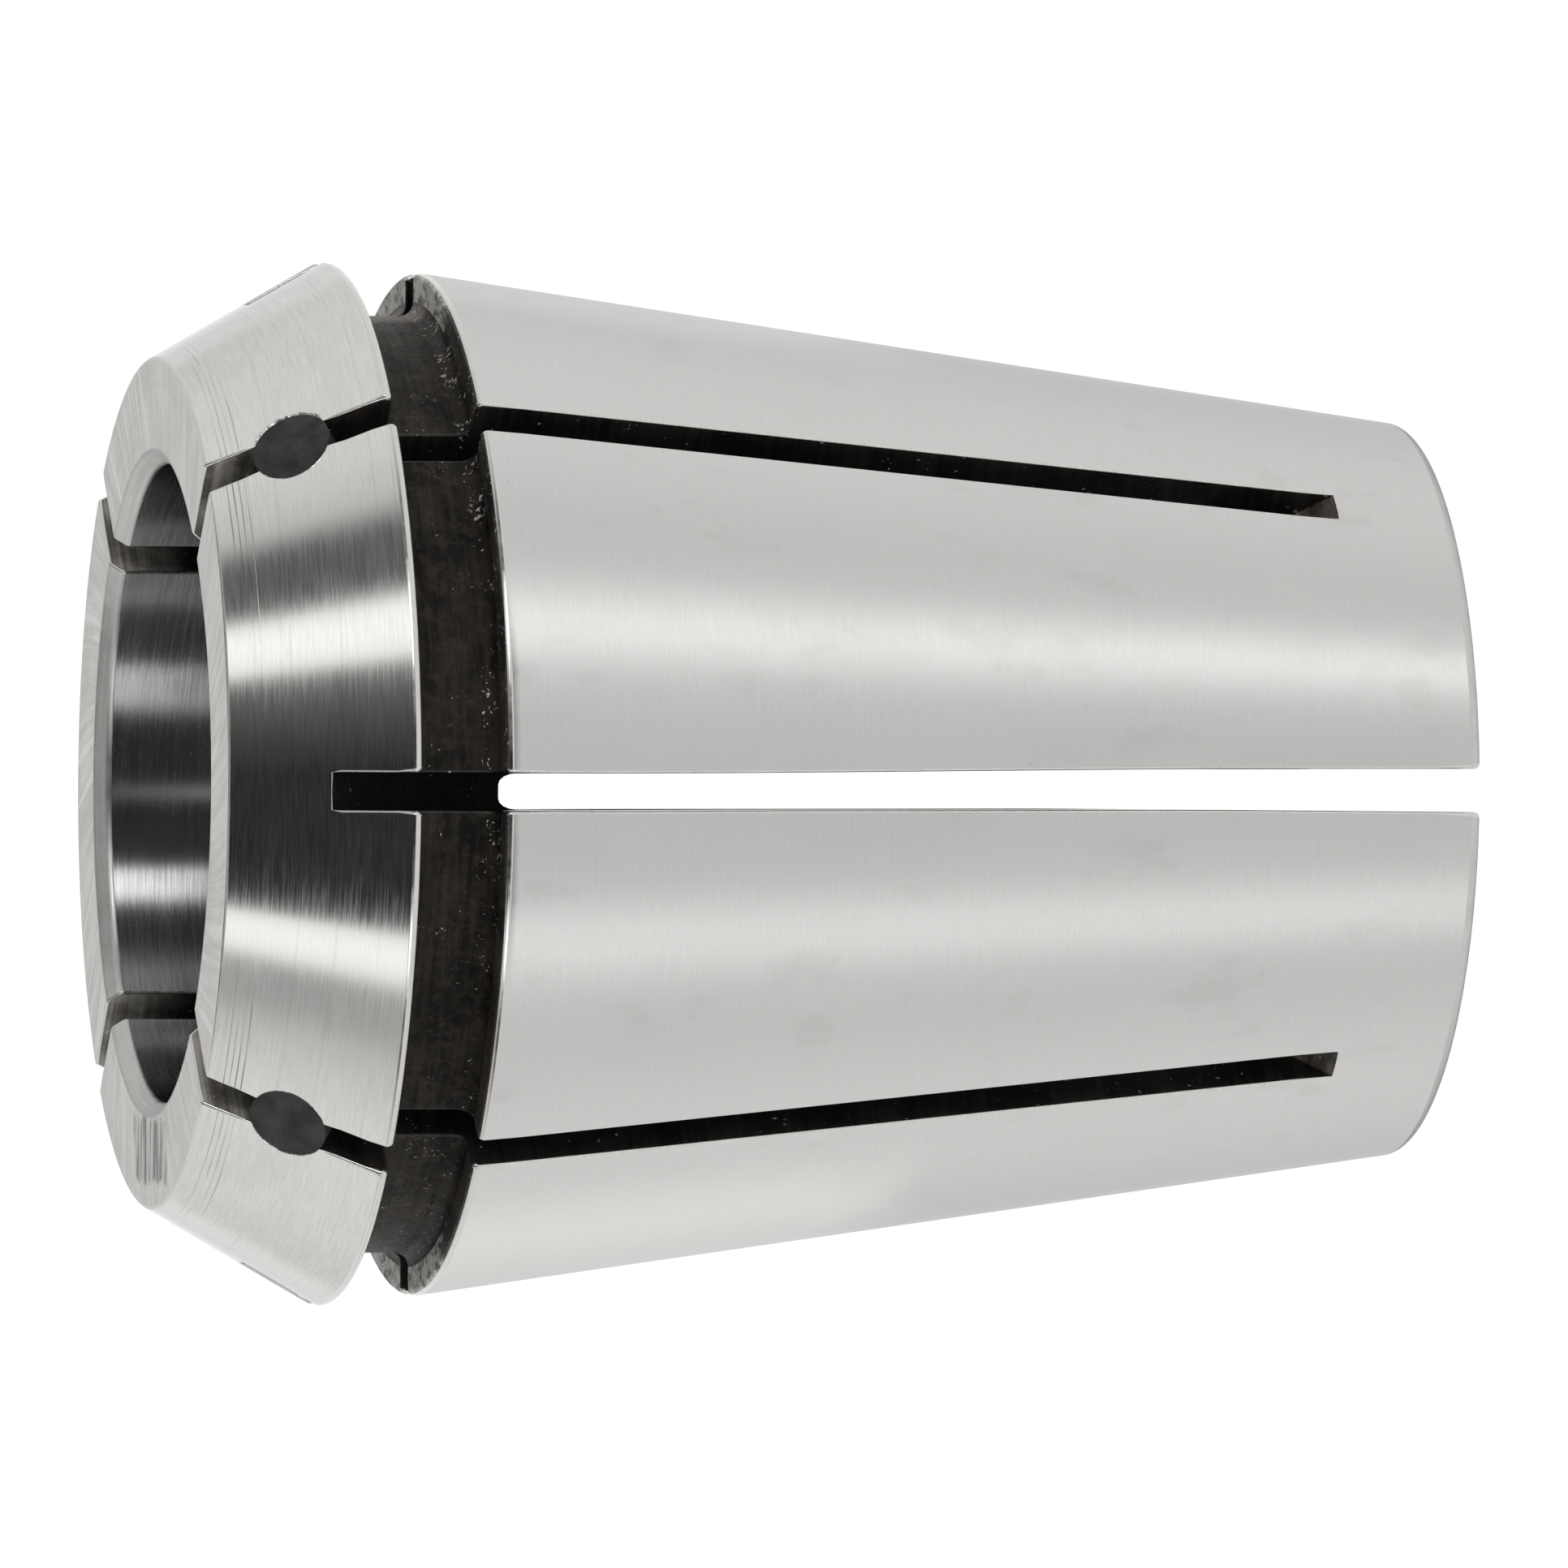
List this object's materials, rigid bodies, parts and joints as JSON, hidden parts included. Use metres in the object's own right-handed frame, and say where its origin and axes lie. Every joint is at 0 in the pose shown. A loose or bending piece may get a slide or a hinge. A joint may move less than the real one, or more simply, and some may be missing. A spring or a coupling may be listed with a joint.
{
  "type": "er collet",
  "caption": "Slotted steel spring collet with a long seating taper, a short nose cone, an extraction groove and a plain clamping bore; rubber plugs seal its front slots.",
  "frame": {"origin": "centre of the small rear face, on which the collet stands", "axes": "+Z along the collet's axis from the rear face to the nose; the slots that open at the rear lie on +X, -X, +Y and -Y"},
  "size_m": [0.0326, 0.0326, 0.04],
  "materials": {
    "spring_steel": "ground bright on cone, taper, bore and faces; black heat-treatment scale in the groove and the slots",
    "plug_rubber": "matte dark grey, flush with the cone"
  },
  "bodies": {
    "root": {"collet_body": "spring_steel", "seal_plug_1": "plug_rubber", "seal_plug_2": "plug_rubber", "seal_plug_3": "plug_rubber", "seal_plug_4": "plug_rubber"}
  },
  "joints": []
}
